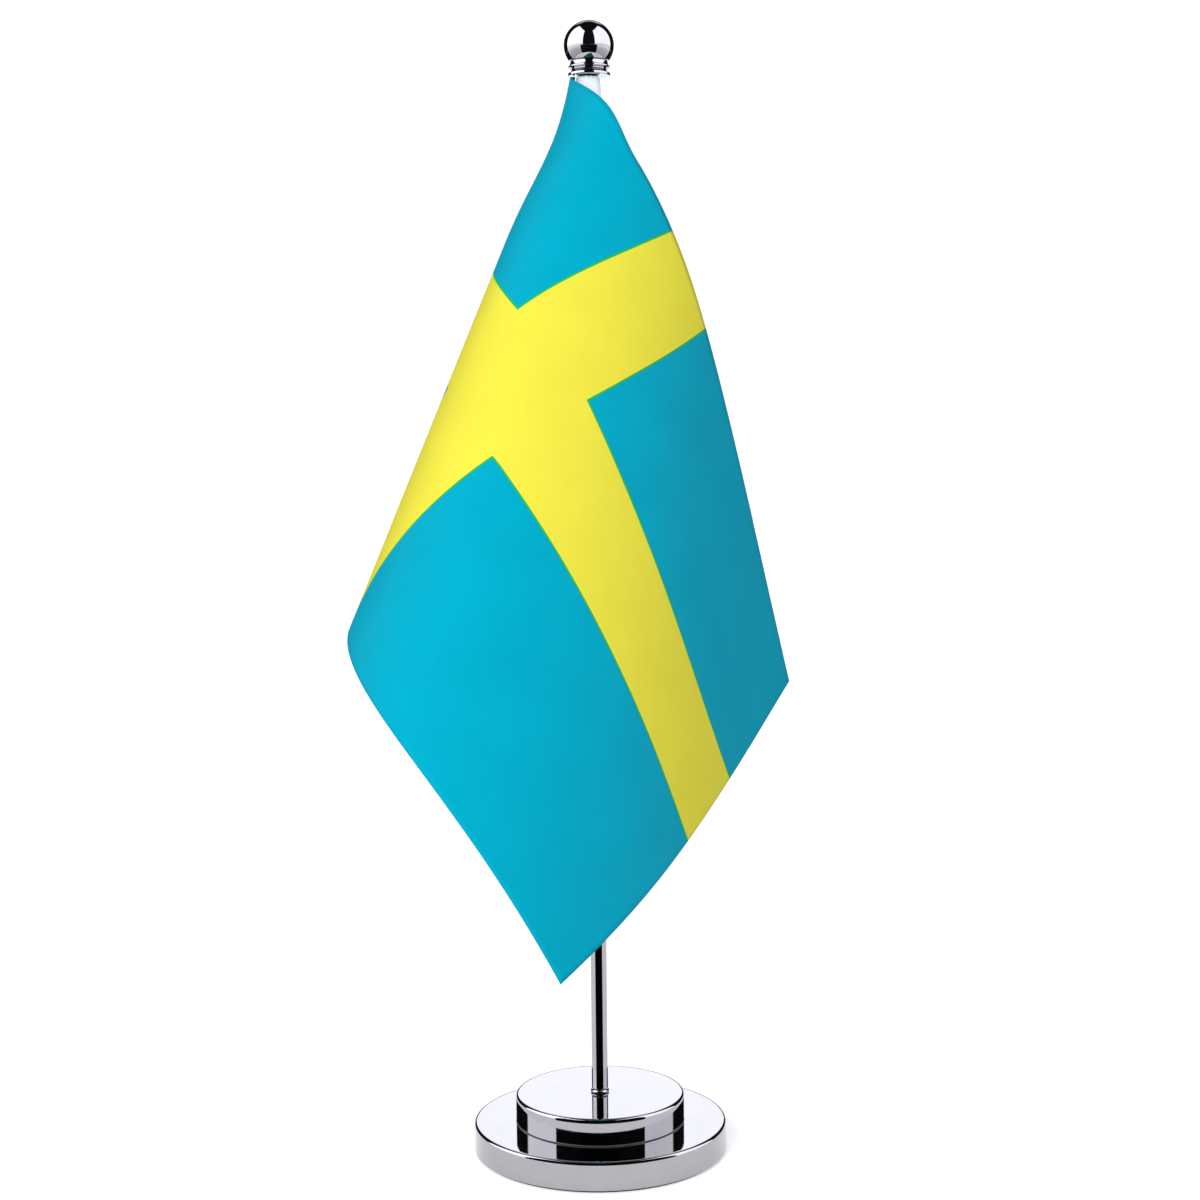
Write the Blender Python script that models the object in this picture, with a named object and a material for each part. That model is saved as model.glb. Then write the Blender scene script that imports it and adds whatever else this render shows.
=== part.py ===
"""Desk flag stand: stepped chrome base, thin pole, ball finial and a small satin flag.

Metres, +Z up the pole. The origin is the centre of the base pad's underside, on the table.
"""
import math

import bmesh
import bpy
from mathutils import Matrix, Vector

# Shared by every seat and fit
SEAT_GAP = 0.0003            # between two faces that touch on the real object
BORE_CLEARANCE = 0.00015     # radial, between a stud or insert and its hole

# Base discs, pressed from sheet steel
LOWER_RADIUS = 0.0375
LOWER_TOP = 0.0091
UPPER_RADIUS = 0.0251
UPPER_TOP = 0.0171
DISC_WALL = 0.0008
DISC_EDGE_RADIUS = 0.0005
RIM_LIFT = 0.0008            # how far the pad stands below the lower disc's rim
PAD_THICKNESS = 0.0020

# Pole tube
POLE_RADIUS = 0.0024
POLE_WALL = 0.0004
POLE_TOP = 0.31337
SEAT_RING_THICKNESS = 0.0006
SEAT_RING_LIP = 0.0003       # how far the ring stands out past the pole

# Threaded parts, all on one small thread size
THREAD_RADIUS = 0.00125
INSERT_LENGTH = 0.0105
SCREW_ENGAGEMENT = 0.0093
STUD_ENGAGEMENT = 0.0080
STUD_IN_BALL = 0.0040
SCREW_HEAD_RADIUS = 0.0024
SCREW_HEAD_HEIGHT = 0.0013
SCREW_SOCKET_RADIUS = 0.0009
SCREW_SOCKET_DEPTH = 0.0008
LOCK_WASHER_WIDTH = 0.0009
LOCK_WASHER_THICKNESS = 0.0005
LOCK_WASHER_SPLIT = math.radians(14)
FLAT_WASHER_WIDTH = 0.0018
FLAT_WASHER_THICKNESS = 0.0005
RECESS_CLEARANCE = 0.0010    # round the widest washer in the ballast's recess

# Finial
BALL_RADIUS = 0.00715
BALL_FLAT_RADIUS = 0.0057
COLLAR_RING_RADIUS = 0.0059
COLLAR_FOOT_RADIUS = 0.0060
COLLAR_NECK_RADIUS = 0.0049
COLLAR_TOP_RADIUS = 0.0053
COLLAR_HEIGHT = 0.0040
COLLAR_CHAMFER = 0.0003      # at the foot ring's lower edge
COLLAR_FOOT_EDGE = 0.0007    # height of the foot ring's rim
COLLAR_NECK_HEIGHT = 0.0019
COLLAR_GROOVE = 0.0001       # straight bit of the neck under the upper ring
COLLAR_RING_UNDER = 0.0005   # from the neck to the underside of the upper ring's rim
COLLAR_RING_EDGE = 0.0008    # from the neck to the top of that rim
FLARE_POWER = 1.6            # how hollow the curves from the rims to the necks are

# Flag: one sheet with a sleeve (the heading) down its hoist
FABRIC_SOLID = 0.0005        # thickness of the flag's solids
SLEEVE_LEFT = 0.0017         # how far the sleeve's left fold stands out past the pole
SLEEVE_RIGHT = 0.0010
SLEEVE_TURN_IN = 0.0002      # how far the sleeve's top is turned in over the pole's rim
SHEET_LENGTH = 0.219         # flat, from the pole's line to the fly edge
SHEET_HEIGHT = 0.146         # flat, along the hoist
SEAM_FADE = 0.025            # flat width over which the field eases into the seam
TOP_PULL = 0.0046            # how far the top edge is drawn sideways where it rounds the sleeve
TOP_PULL_WIDTH = 0.045       # along the top edge
TOP_PULL_DEPTH = 0.045       # down the hoist
HOIST_HEADING = math.radians(164.5)
HOIST_BACKSET = 0.0023       # the hoist line starts this far behind the pole's axis
FLAG_TOP_DROP = 0.0002       # below the sleeve's top

# How the sheet is rolled: straight fold lines sweep over it from the hoist to the fly.
# The fold lines turn away from the hoist up to LAST_FOLD_ANGLE, their starts walk along
# the top edge as sweep ** START_POWER, and FOLD_RATES is the bend, in radians per whole
# sweep, at even steps of the sweep.
LAST_FOLD_ANGLE = math.radians(66.7)
START_POWER = 3.35
FOLD_RATES = (2.3, 3.3, 4.7, 8.2, 9.0, 4.0, 0.6, -0.3)
FOLD_STRIPS = 96
FIELD_COLUMNS = 34
FIELD_ROWS = 20

ROUND_STEPS_LARGE = 96
ROUND_STEPS_MEDIUM = 48
ROUND_STEPS_SMALL = 32
EDGE_STEPS = 5
BALL_STEPS = 18

# Heights that follow from the sizes above
LOWER_CEILING = LOWER_TOP - DISC_WALL
UPPER_FLOOR = LOWER_TOP + SEAT_GAP
UPPER_CEILING = UPPER_TOP - DISC_WALL
BORE_RADIUS = THREAD_RADIUS + BORE_CLEARANCE
PLAIN_HOLE_RADIUS = THREAD_RADIUS + 2 * BORE_CLEARANCE
INSERT_RADIUS = POLE_RADIUS - POLE_WALL - BORE_CLEARANCE
SEAT_RING_BOTTOM = UPPER_TOP + SEAT_GAP
POLE_BOTTOM = SEAT_RING_BOTTOM + SEAT_RING_THICKNESS + SEAT_GAP
SLEEVE_TOP = POLE_TOP + SEAT_GAP + FABRIC_SOLID
COLLAR_BOTTOM = SLEEVE_TOP + SEAT_GAP
BALL_FLAT = COLLAR_BOTTOM + COLLAR_HEIGHT + SEAT_GAP
BALL_CENTRE = BALL_FLAT + math.sqrt(BALL_RADIUS ** 2 - BALL_FLAT_RADIUS ** 2)
FIELD_TOP = SLEEVE_TOP - FLAG_TOP_DROP

CHROME = ((0.80, 0.80, 0.82), 0.05, 1.0)
BRIGHT_STEEL = ((0.62, 0.63, 0.65), 0.25, 1.0)
CAST_STEEL = ((0.20, 0.20, 0.21), 0.55, 0.9)
BRASS = ((0.72, 0.55, 0.25), 0.30, 1.0)
FOAM = ((0.03, 0.03, 0.035), 0.85, 0.0)
WHITE_FABRIC = ((0.86, 0.87, 0.90), 0.60, 0.0)
BLUE_SATIN = ((0.00, 0.34, 0.50), 0.45, 0.0)


def clear_objects():
    for item in list(bpy.data.objects):
        bpy.data.objects.remove(item, do_unlink=True)


def make_material(name, look):
    colour, roughness, metallic = look
    material = bpy.data.materials.new(name)
    material.use_nodes = True
    shader = material.node_tree.nodes["Principled BSDF"]
    shader.inputs["Base Color"].default_value = (*colour, 1.0)
    shader.inputs["Roughness"].default_value = roughness
    shader.inputs["Metallic"].default_value = metallic
    return material


def add_object(name, shape, look, parent=None, origin=(0.0, 0.0, 0.0)):
    """Turns a bmesh in world coordinates into a named object with its origin at a point."""
    bmesh.ops.translate(shape, verts=shape.verts, vec=-Vector(origin))
    bmesh.ops.recalc_face_normals(shape, faces=shape.faces)
    mesh = bpy.data.meshes.new(name)
    shape.to_mesh(mesh)
    shape.free()
    mesh.materials.append(make_material(name, look))
    item = bpy.data.objects.new(name, mesh)
    item.location = origin
    bpy.context.scene.collection.objects.link(item)
    if parent is not None:
        item.parent = parent
        item.location = Vector(origin) - parent.matrix_world.translation
    for face in mesh.polygons:
        face.use_smooth = True
    mesh.set_sharp_from_angle(angle=math.radians(32))
    return item


def circle_ring(radius, height, steps):
    """One ring of a turned part; a radius of zero gives a single point on the axis."""
    if radius == 0:
        return [Vector((0, 0, height))]
    points = []
    for i in range(steps):
        angle = 2 * math.pi * i / steps
        points.append(Vector((radius * math.cos(angle), radius * math.sin(angle), height)))
    return points


def join_rings(shape, ring, other):
    """Faces between two rings of the same count, or between a ring and a point."""
    if len(ring) == 1:
        ring, other = other, ring
    count = len(ring)
    for i in range(count):
        j = (i + 1) % count
        if len(other) == 1:
            shape.faces.new((ring[i], ring[j], other[0]))
        else:
            shape.faces.new((ring[i], ring[j], other[j], other[i]))


def skin_rings(rings):
    """A closed solid through rings; it ends in points on the axis, or the last ring meets the first."""
    shape = bmesh.new()
    vertex_rings = [[shape.verts.new(point) for point in ring] for ring in rings]
    for ring, other in zip(vertex_rings, vertex_rings[1:]):
        join_rings(shape, ring, other)
    if len(rings[0]) > 1:
        join_rings(shape, vertex_rings[-1], vertex_rings[0])
    return shape


def turned(profile, steps):
    """A part turned about the pole's axis, from its outline of (radius, height) points."""
    return skin_rings([circle_ring(radius, height, steps) for radius, height in profile])


def arc(centre, radius, start, end, steps):
    """Outline points of an arc, angles in degrees, 0 pointing out and 90 pointing up."""
    points = []
    for i in range(steps + 1):
        angle = math.radians(start + (end - start) * i / steps)
        points.append((centre[0] + radius * math.cos(angle), centre[1] + radius * math.sin(angle)))
    return points


def pressed_disc(name, radius, bottom, top, parent):
    """Pressed cap: flat top with a rolled edge, straight skirt, hollow below, hole for the screw."""
    edge = DISC_EDGE_RADIUS
    inner = radius - DISC_WALL
    ceiling = top - DISC_WALL
    profile = [(inner, bottom), (radius, bottom)]
    profile += arc((radius - edge, top - edge), edge, 0, 90, EDGE_STEPS)
    profile += [(PLAIN_HOLE_RADIUS, top), (PLAIN_HOLE_RADIUS, ceiling), (inner, ceiling)]
    add_object(name, turned(profile, ROUND_STEPS_LARGE), CHROME, parent, (0, 0, bottom))


def washer_stack():
    """Heights of the screw head, lock washer, flat washer and recess ceiling, from the pad up."""
    head_bottom = PAD_THICKNESS + 2 * SEAT_GAP
    head_top = head_bottom + SCREW_HEAD_HEIGHT
    lock_bottom = head_top + SEAT_GAP
    flat_bottom = lock_bottom + LOCK_WASHER_THICKNESS + SEAT_GAP
    ceiling = flat_bottom + FLAT_WASHER_THICKNESS + SEAT_GAP
    return head_bottom, head_top, lock_bottom, flat_bottom, ceiling


def build_base(root):
    pressed_disc("base_lower_shell", LOWER_RADIUS, RIM_LIFT, LOWER_TOP, root)
    pressed_disc("base_upper_cap", UPPER_RADIUS, UPPER_FLOOR, UPPER_TOP, root)

    pad_radius = LOWER_RADIUS - DISC_WALL - SEAT_GAP
    pad = [(0, 0), (pad_radius, 0), (pad_radius, PAD_THICKNESS), (0, PAD_THICKNESS)]
    add_object("base_pad", turned(pad, ROUND_STEPS_MEDIUM), FOAM, root)

    # The lower weight has a recess below for the screw head and its washers
    floor = PAD_THICKNESS + SEAT_GAP
    top = LOWER_CEILING - SEAT_GAP
    recess_radius = BORE_RADIUS + FLAT_WASHER_WIDTH + RECESS_CLEARANCE
    recess_ceiling = washer_stack()[-1]
    lower = [(recess_radius, floor), (pad_radius, floor), (pad_radius, top), (PLAIN_HOLE_RADIUS, top),
             (PLAIN_HOLE_RADIUS, recess_ceiling), (recess_radius, recess_ceiling)]
    add_object("base_lower_ballast", turned(lower, ROUND_STEPS_MEDIUM), CAST_STEEL, root, (0, 0, floor))

    upper_radius = UPPER_RADIUS - DISC_WALL - SEAT_GAP
    top = UPPER_CEILING - SEAT_GAP
    upper = [(PLAIN_HOLE_RADIUS, UPPER_FLOOR), (upper_radius, UPPER_FLOOR), (upper_radius, top),
             (PLAIN_HOLE_RADIUS, top)]
    add_object("base_upper_ballast", turned(upper, ROUND_STEPS_MEDIUM), CAST_STEEL, root, (0, 0, UPPER_FLOOR))

    # The ring that the pole stands on
    ring_top = SEAT_RING_BOTTOM + SEAT_RING_THICKNESS
    outer = POLE_RADIUS + SEAT_RING_LIP
    ring = [(PLAIN_HOLE_RADIUS, SEAT_RING_BOTTOM), (outer, SEAT_RING_BOTTOM),
            (outer, ring_top - SEAT_RING_LIP), (POLE_RADIUS, ring_top), (PLAIN_HOLE_RADIUS, ring_top)]
    add_object("pole_seat_ring", turned(ring, ROUND_STEPS_SMALL), CHROME, root, (0, 0, SEAT_RING_BOTTOM))


def build_base_screw(root):
    head_bottom, head_top, lock_bottom, flat_bottom, _ = washer_stack()
    tip = POLE_BOTTOM + SCREW_ENGAGEMENT
    chamfer = THREAD_RADIUS / 3

    # Hexagon socket: six corners, spread over the head's round steps
    steps = ROUND_STEPS_SMALL * 3 // 4
    socket = []
    for i in range(steps):
        angle = 2 * math.pi * i / steps
        from_flat = (angle + math.pi / 6) % (math.pi / 3) - math.pi / 6
        reach = SCREW_SOCKET_RADIUS * math.cos(math.pi / 6) / math.cos(from_flat)
        socket.append((reach * math.cos(angle), reach * math.sin(angle)))
    rings = [circle_ring(0, head_bottom + SCREW_SOCKET_DEPTH, steps)]
    rings.append([Vector((x, y, head_bottom + SCREW_SOCKET_DEPTH)) for x, y in socket])
    rings.append([Vector((x, y, head_bottom)) for x, y in socket])
    outline = [(SCREW_HEAD_RADIUS - chamfer, head_bottom), (SCREW_HEAD_RADIUS, head_bottom + chamfer),
               (SCREW_HEAD_RADIUS, head_top), (THREAD_RADIUS, head_top), (THREAD_RADIUS, tip - chamfer),
               (THREAD_RADIUS - chamfer, tip), (0, tip)]
    rings += [circle_ring(radius, height, steps) for radius, height in outline]
    add_object("base_screw", skin_rings(rings), BRIGHT_STEEL, root, (0, 0, head_bottom))

    flat_top = flat_bottom + FLAT_WASHER_THICKNESS
    outer = BORE_RADIUS + FLAT_WASHER_WIDTH
    flat = [(BORE_RADIUS, flat_bottom), (outer, flat_bottom), (outer, flat_top), (BORE_RADIUS, flat_top)]
    add_object("flat_washer", turned(flat, ROUND_STEPS_SMALL), BRIGHT_STEEL, root, (0, 0, flat_bottom))
    add_object("lock_washer", lock_washer_shape(lock_bottom), BRIGHT_STEEL, root, (0, 0, lock_bottom))


def lock_washer_shape(bottom):
    """Split ring with a square section and two open ends."""
    inner = BORE_RADIUS
    outer = BORE_RADIUS + LOCK_WASHER_WIDTH
    top = bottom + LOCK_WASHER_THICKNESS
    shape = bmesh.new()
    sections = []
    for i in range(ROUND_STEPS_SMALL + 1):
        angle = LOCK_WASHER_SPLIT / 2 + (2 * math.pi - LOCK_WASHER_SPLIT) * i / ROUND_STEPS_SMALL
        corners = ((inner, bottom), (outer, bottom), (outer, top), (inner, top))
        section = [shape.verts.new((r * math.cos(angle), r * math.sin(angle), z)) for r, z in corners]
        sections.append(section)
    for section, other in zip(sections, sections[1:]):
        join_rings(shape, section, other)
    shape.faces.new(sections[0])
    shape.faces.new(sections[-1])
    return shape


def build_pole(pole):
    inner = POLE_RADIUS - POLE_WALL
    tube = [(inner, POLE_BOTTOM), (POLE_RADIUS, POLE_BOTTOM), (POLE_RADIUS, POLE_TOP), (inner, POLE_TOP)]
    add_object("pole_tube", turned(tube, ROUND_STEPS_MEDIUM), CHROME, pole, (0, 0, POLE_BOTTOM))
    add_insert("pole_bottom_insert", POLE_BOTTOM + SEAT_GAP, pole)
    add_insert("pole_top_insert", POLE_TOP - SEAT_GAP - INSERT_LENGTH, pole)


def add_insert(name, bottom, parent):
    """Threaded plug pressed into one end of the pole tube."""
    top = bottom + INSERT_LENGTH
    plug = [(BORE_RADIUS, bottom), (INSERT_RADIUS, bottom), (INSERT_RADIUS, top), (BORE_RADIUS, top)]
    add_object(name, turned(plug, ROUND_STEPS_SMALL), BRASS, parent, (0, 0, bottom))


def build_finial(finial):
    # Ball with a flat foot and a blind threaded hole
    hole_top = BALL_FLAT + STUD_IN_BALL + SEAT_GAP
    foot_angle = math.degrees(math.asin((BALL_FLAT - BALL_CENTRE) / BALL_RADIUS))
    ball = [(0, hole_top), (BORE_RADIUS, hole_top), (BORE_RADIUS, BALL_FLAT)]
    ball += arc((0, BALL_CENTRE), BALL_RADIUS, foot_angle, 90, BALL_STEPS)[:-1]
    ball.append((0, BALL_CENTRE + BALL_RADIUS))
    add_object("finial_ball", turned(ball, ROUND_STEPS_MEDIUM), CHROME, finial, (0, 0, BALL_CENTRE))

    # Collar: two flared rings, one above the other, with a sharp neck between
    base = COLLAR_BOTTOM
    neck = base + COLLAR_NECK_HEIGHT
    foot_edge = base + COLLAR_FOOT_EDGE
    ring_edge = neck + COLLAR_RING_EDGE
    collar = [(BORE_RADIUS, base), (COLLAR_FOOT_RADIUS - COLLAR_CHAMFER, base),
              (COLLAR_FOOT_RADIUS, base + COLLAR_CHAMFER), (COLLAR_FOOT_RADIUS, foot_edge)]
    collar += flare(COLLAR_FOOT_RADIUS, foot_edge, COLLAR_NECK_RADIUS, neck)
    collar += [(COLLAR_NECK_RADIUS, neck + COLLAR_GROOVE), (COLLAR_RING_RADIUS, neck + COLLAR_RING_UNDER),
               (COLLAR_RING_RADIUS, ring_edge)]
    collar += flare(COLLAR_RING_RADIUS, ring_edge, COLLAR_TOP_RADIUS, base + COLLAR_HEIGHT)
    collar.append((BORE_RADIUS, base + COLLAR_HEIGHT))
    add_object("finial_collar", turned(collar, ROUND_STEPS_MEDIUM), CHROME, finial, (0, 0, base))

    # Threaded stud that joins ball, collar and pole
    bottom = POLE_TOP - STUD_ENGAGEMENT
    top = BALL_FLAT + STUD_IN_BALL
    chamfer = THREAD_RADIUS / 3
    stud = [(0, bottom), (THREAD_RADIUS - chamfer, bottom), (THREAD_RADIUS, bottom + chamfer),
            (THREAD_RADIUS, top - chamfer), (THREAD_RADIUS - chamfer, top), (0, top)]
    add_object("finial_stud", turned(stud, ROUND_STEPS_SMALL), BRIGHT_STEEL, finial, (0, 0, bottom))


def flare(wide, low, narrow, high):
    """Hollow curve from a wide lip up to a narrow top, without its first point."""
    points = []
    for i in range(1, EDGE_STEPS):
        part = i / (EDGE_STEPS - 1)
        points.append((narrow + (wide - narrow) * (1 - part) ** FLARE_POWER, low + (high - low) * part))
    return points


def sleeve_ring(radius, left, right, height, steps):
    """Flattened loop: two half circles about the points left and right of the axis."""
    points = []
    for i in range(steps):
        angle = 2 * math.pi * (i + 0.5) / steps
        centre = right if math.cos(angle) > 0 else left
        points.append(Vector((centre + radius * math.cos(angle), radius * math.sin(angle), height)))
    return points


def build_flag(flag):
    # Sleeve: a flattened tube round the pole, its top turned in over the pole's rim
    inner = POLE_RADIUS + SEAT_GAP
    outer = inner + FABRIC_SOLID
    left = -(SLEEVE_LEFT - SEAT_GAP - FABRIC_SOLID)
    right = SLEEVE_RIGHT - SEAT_GAP - FABRIC_SOLID
    mouth = POLE_RADIUS - SLEEVE_TURN_IN
    under = SLEEVE_TOP - FABRIC_SOLID
    bottom = FIELD_TOP - SHEET_HEIGHT
    steps = ROUND_STEPS_SMALL
    rings = [sleeve_ring(outer, left, right, bottom, steps),
             sleeve_ring(outer, left, right, SLEEVE_TOP, steps),
             sleeve_ring(mouth, 0, 0, SLEEVE_TOP, steps),
             sleeve_ring(mouth, 0, 0, under, steps),
             sleeve_ring(inner, left, right, under, steps),
             sleeve_ring(inner, left, right, bottom, steps)]
    add_object("flag_sleeve", skin_rings(rings), WHITE_FABRIC, flag, (0, 0, bottom))

    # Field: the rolled sheet from the sleeve's left fold to the fly
    seam_x = left - outer - SEAT_GAP - FABRIC_SOLID / 2
    sheet = RolledSheet()
    seam_u = sheet.reach_of(seam_x)
    shape = bmesh.new()
    grid = []
    for row in range(FIELD_ROWS + 1):
        v = SHEET_HEIGHT * row / FIELD_ROWS
        seam_shift = Vector((seam_x, 0, FIELD_TOP - v)) - sheet.point(seam_u, v)
        line = []
        for column in range(FIELD_COLUMNS + 1):
            u = seam_u + (SHEET_LENGTH - seam_u) * column / FIELD_COLUMNS
            ease = smooth_step((u - seam_u) / SEAM_FADE)
            place = sheet.point(u, v) + seam_shift * (1 - ease)
            place.x += top_pull(u - seam_u, v)
            line.append(shape.verts.new(place))
        grid.append(line)
    for upper, lower in zip(grid, grid[1:]):
        for i in range(FIELD_COLUMNS):
            shape.faces.new((upper[i], upper[i + 1], lower[i + 1], lower[i]))
    field = add_object("flag_field", shape, BLUE_SATIN, flag, (seam_x, 0, FIELD_TOP))
    thicken = field.modifiers.new("fabric thickness", "SOLIDIFY")
    thicken.thickness = FABRIC_SOLID
    thicken.offset = 0


def smooth_step(part):
    part = min(max(part, 0.0), 1.0)
    return part * part * (3 - 2 * part)


def top_pull(along, down):
    """Sideways draw of the sheet's upper corner, where it is wrapped round the sleeve."""
    part = min(max(along / TOP_PULL_WIDTH, 0.0), 1.0)
    return TOP_PULL * math.sin(math.pi * part) ** 2 * (1 - smooth_step(down / TOP_PULL_DEPTH))


def fold_rate(sweep):
    """Bend at a place in the sweep, eased between the given rates."""
    place = sweep * (len(FOLD_RATES) - 1)
    step = min(int(place), len(FOLD_RATES) - 2)
    ease = smooth_step(place - step)
    return FOLD_RATES[step] * (1 - ease) + FOLD_RATES[step + 1] * ease


class RolledSheet:
    """A flat sheet bent only about straight fold lines, so that no part of it is stretched."""

    def __init__(self):
        along = Vector((math.cos(HOIST_HEADING), math.sin(HOIST_HEADING), 0))
        down = Vector((0, 0, -1))
        start = Vector((0, 0, FIELD_TOP)) - HOIST_BACKSET * along
        self.folds = []
        previous = 0.0
        for i in range(FOLD_STRIPS + 1):
            sweep = i / FOLD_STRIPS
            angle = LAST_FOLD_ANGLE * sweep
            reach = SHEET_LENGTH * sweep ** START_POWER
            start = start + (reach - previous) * along
            previous = reach
            line = math.sin(angle) * along + math.cos(angle) * down
            self.folds.append((angle, reach, start, line))
            bend = Matrix.Rotation(-fold_rate(sweep) / FOLD_STRIPS, 3, line)
            along = bend @ along
            down = bend @ down

    def side(self, fold, u, v):
        """Positive while the flat point (u, v) is on the fly side of a fold line."""
        angle, reach, _, _ = fold
        return (u - reach) * math.cos(angle) - v * math.sin(angle)

    def point(self, u, v):
        """Place in space of a flat point: u along the top edge, v down the hoist."""
        low, high = 0, len(self.folds) - 1
        while high - low > 1:
            middle = (low + high) // 2
            if self.side(self.folds[middle], u, v) > 0:
                low = middle
            else:
                high = middle
        before, after = self.folds[low], self.folds[high]
        near, far = self.side(before, u, v), self.side(after, u, v)
        part = min(max(near / (near - far), 0.0), 1.0) if near != far else 0.0
        reach = before[1] + (after[1] - before[1]) * part
        start = before[2].lerp(after[2], part)
        line = before[3].lerp(after[3], part)
        return start + math.hypot(u - reach, v) * line

    def reach_of(self, x):
        """Flat distance from the hoist at which the bottom edge passes x on its way out."""
        u = 0.0
        while self.point(u, SHEET_HEIGHT).x > x:
            u += FABRIC_SOLID / 2
        return u


def make_pivot(name, parent=None):
    """Empty on the pole's axis that a moving group hangs from."""
    pivot = bpy.data.objects.new(name, None)
    pivot.parent = parent
    bpy.context.scene.collection.objects.link(pivot)
    return pivot


def build_stand():
    clear_objects()
    root = make_pivot("stand")
    pole = make_pivot("pole_group", root)
    finial = make_pivot("finial_group", pole)
    flag = make_pivot("flag_group", pole)
    bpy.context.view_layer.update()
    build_base(root)
    build_base_screw(root)
    build_pole(pole)
    build_finial(finial)
    build_flag(flag)


build_stand()
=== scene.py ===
import math

import bmesh
import bpy
from mathutils import Matrix, Vector, noise


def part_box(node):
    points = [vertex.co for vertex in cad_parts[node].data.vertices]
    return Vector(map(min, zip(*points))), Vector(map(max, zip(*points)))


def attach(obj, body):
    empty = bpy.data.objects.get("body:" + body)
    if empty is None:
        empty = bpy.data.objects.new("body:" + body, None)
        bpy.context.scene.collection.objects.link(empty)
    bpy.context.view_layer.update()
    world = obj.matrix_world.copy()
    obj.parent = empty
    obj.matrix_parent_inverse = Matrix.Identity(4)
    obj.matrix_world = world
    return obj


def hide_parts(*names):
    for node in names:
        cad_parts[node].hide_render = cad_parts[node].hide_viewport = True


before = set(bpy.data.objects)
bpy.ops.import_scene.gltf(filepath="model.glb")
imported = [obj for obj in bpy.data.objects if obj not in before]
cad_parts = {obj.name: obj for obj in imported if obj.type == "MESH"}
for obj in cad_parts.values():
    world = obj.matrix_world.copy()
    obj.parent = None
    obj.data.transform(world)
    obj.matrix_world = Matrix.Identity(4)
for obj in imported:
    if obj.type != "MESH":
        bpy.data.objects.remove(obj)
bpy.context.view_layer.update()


# ---------------------------------------------------------------------------
# The studio: a matt white table sweep in an even room, with a soft panel at the
# front left. Soft boxes, a backdrop and cards of felt and cloth are there for
# the chrome, which shows them as clean white panels with dark edges.
# ---------------------------------------------------------------------------

def linear(hex_colour):
    """Scene-linear colour of an sRGB hex colour."""
    channels = [int(hex_colour[i:i + 2], 16) / 255 for i in (1, 3, 5)]
    return [c / 12.92 if c <= 0.04045 else ((c + 0.055) / 1.055) ** 2.4 for c in channels] + [1.0]


def add_node(tree, kind, inputs=None, **settings):
    """Adds a shader node with its settings, and the values or the nodes that feed it."""
    node = tree.nodes.new(kind)
    for name, value in settings.items():
        setattr(node, name, value)
    for name, value in (inputs or {}).items():
        if isinstance(value, bpy.types.Node):
            value = value.outputs[0]
        if isinstance(value, bpy.types.NodeSocket):
            tree.links.new(value, node.inputs[name])
        else:
            node.inputs[name].default_value = value
    return node


def start_material(name, values):
    """A material whose shader has the given values, with its node tree and shader."""
    material = bpy.data.materials.new(name)
    material.use_nodes = True
    shader = material.node_tree.nodes["Principled BSDF"]
    for socket, value in values.items():
        shader.inputs[socket].default_value = value
    return material, material.node_tree, shader


def add_piece(name, shape, materials, sharp_angle=32):
    """Turns a bmesh in the shared frame into a smooth-shaded piece."""
    bmesh.ops.recalc_face_normals(shape, faces=shape.faces)
    mesh = bpy.data.meshes.new(name)
    shape.to_mesh(mesh)
    shape.free()
    for material in materials:
        mesh.materials.append(material)
    for face in mesh.polygons:
        face.use_smooth = True
    mesh.set_sharp_from_angle(angle=math.radians(sharp_angle))
    piece = bpy.data.objects.new(name, mesh)
    bpy.context.scene.collection.objects.link(piece)
    return piece


scene = bpy.context.scene
scene.view_settings.view_transform = "Standard"

camera_data = bpy.data.cameras.new("studio_camera")
camera_data.lens = 60.69
camera_data.sensor_width = 36
camera = bpy.data.objects.new("studio_camera", camera_data)
scene.collection.objects.link(camera)
CAMERA_PLACE = (0, -0.58888, 0.21477)
CAMERA_DOWN_TILT = math.radians(4.91)
CAMERA_TURN = -0.0026
CAMERA_ROLL = -0.0105
camera.matrix_world = (Matrix.Translation(CAMERA_PLACE) @ Matrix.Rotation(CAMERA_TURN, 4, "Z")
                       @ Matrix.Rotation(math.pi / 2 - CAMERA_DOWN_TILT, 4, "X")
                       @ Matrix.Rotation(CAMERA_ROLL, 4, "Z"))
scene.camera = camera

world = bpy.data.worlds.new("soft_box_studio")
scene.world = world
world.use_nodes = True
sky = world.node_tree
sky.nodes.clear()

# Degrees round from the front (-Y), with a sign and without, and degrees above the horizon
heading = add_node(sky, "ShaderNodeTexCoord").outputs["Generated"]
toward = add_node(sky, "ShaderNodeSeparateXYZ", {0: heading})
ahead = add_node(sky, "ShaderNodeMath", {0: toward.outputs[1], 1: -1.0}, operation="MULTIPLY")
turn = add_node(sky, "ShaderNodeMath", {0: toward.outputs[0], 1: ahead}, operation="ARCTAN2")
turn = add_node(sky, "ShaderNodeMath", {0: turn}, operation="DEGREES")
side = add_node(sky, "ShaderNodeMath", {0: turn}, operation="ABSOLUTE")
height = add_node(sky, "ShaderNodeMath", {0: toward.outputs[2]}, operation="ARCSINE")
height = add_node(sky, "ShaderNodeMath", {0: height}, operation="DEGREES")

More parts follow.
